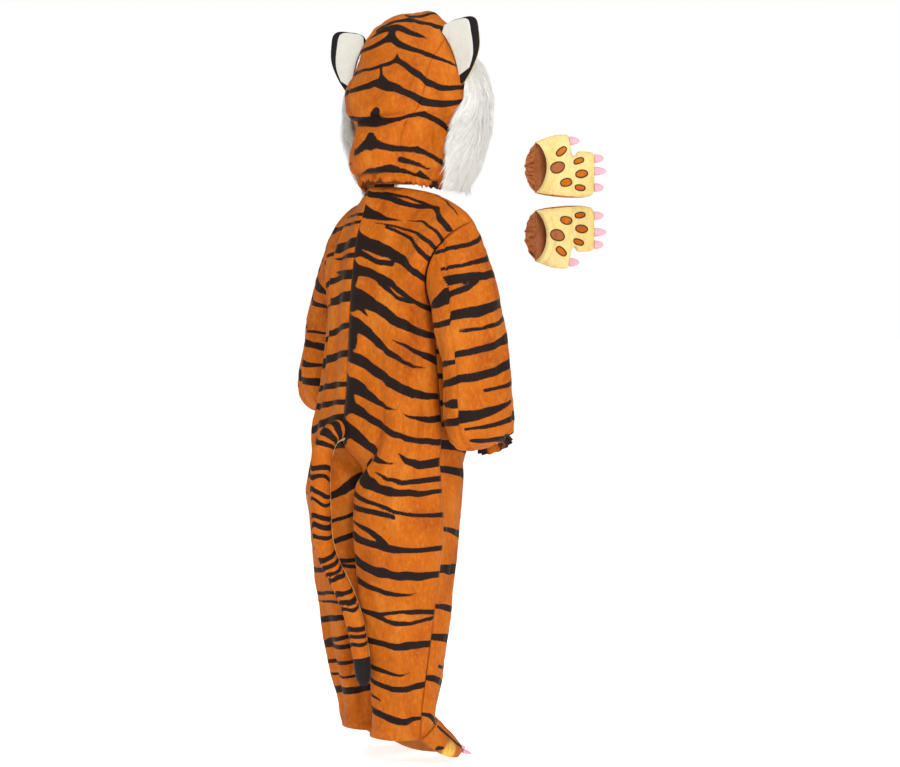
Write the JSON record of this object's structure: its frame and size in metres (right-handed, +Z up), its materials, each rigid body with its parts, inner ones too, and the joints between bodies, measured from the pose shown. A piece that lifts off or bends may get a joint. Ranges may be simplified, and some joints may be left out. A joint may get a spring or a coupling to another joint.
{
  "type": "child's tiger costume",
  "caption": "Hollow plush tiger jumpsuit with tail and foot covers, a hood with ears and cheek ruff, and loose paw gloves, held in a standing pose.",
  "frame": {"origin": "middle of the neck opening, where the wearer's shoulders carry the suit", "axes": "+Z up, the wearer faces -Y, the wearer's left is +X"},
  "size_m": [0.4237, 0.3788, 1.0675],
  "materials": {
    "striped_orange_plush": "short dense plush with dark stripes",
    "pale_yellow_plush": "short plush",
    "white_long_pile": "long pile",
    "black_plush": "short plush",
    "black_knit_tab": "flat woven",
    "cream_plush": "short plush",
    "pink_felt": "felt"
  },
  "bodies": {
    "root": {"back_left": "striped_orange_plush", "back_right": "striped_orange_plush", "cuff_left": "striped_orange_plush", "cuff_right": "striped_orange_plush", "ear_back_left": "black_plush", "ear_back_right": "black_plush", "ear_front_left": "pale_yellow_plush", "ear_front_right": "pale_yellow_plush", "ear_patch_left": "white_long_pile", "ear_patch_right": "white_long_pile", "foot_claw_left_1": "pink_felt", "foot_claw_left_2": "pink_felt", "foot_claw_left_3": "pink_felt", "foot_claw_right_1": "pink_felt", "foot_claw_right_2": "pink_felt", "foot_claw_right_3": "pink_felt", "foot_left": "striped_orange_plush", "foot_right": "striped_orange_plush", "front_left": "striped_orange_plush", "front_right": "striped_orange_plush", "glove_back_left": "striped_orange_plush", "glove_back_right": "striped_orange_plush", "glove_claw_left_1": "pink_felt", "glove_claw_left_2": "pink_felt", "glove_claw_left_3": "pink_felt", "glove_claw_left_4": "pink_felt", "glove_claw_right_1": "pink_felt", "glove_claw_right_2": "pink_felt", "glove_claw_right_3": "pink_felt", "glove_claw_right_4": "pink_felt", "glove_palm_left": "pale_yellow_plush", "glove_palm_right": "pale_yellow_plush", "hood_casing": "striped_orange_plush", "hood_chin": "striped_orange_plush", "hood_middle": "striped_orange_plush", "hood_side_left": "striped_orange_plush", "hood_side_right": "striped_orange_plush", "muzzle": "striped_orange_plush", "neck_tab": "black_knit_tab", "ruff_left": "white_long_pile", "ruff_right": "white_long_pile", "sleeve_left": "striped_orange_plush", "sleeve_right": "striped_orange_plush", "tail_back": "striped_orange_plush", "tail_tip": "black_plush", "tail_under": "cream_plush"}
  },
  "joints": []
}
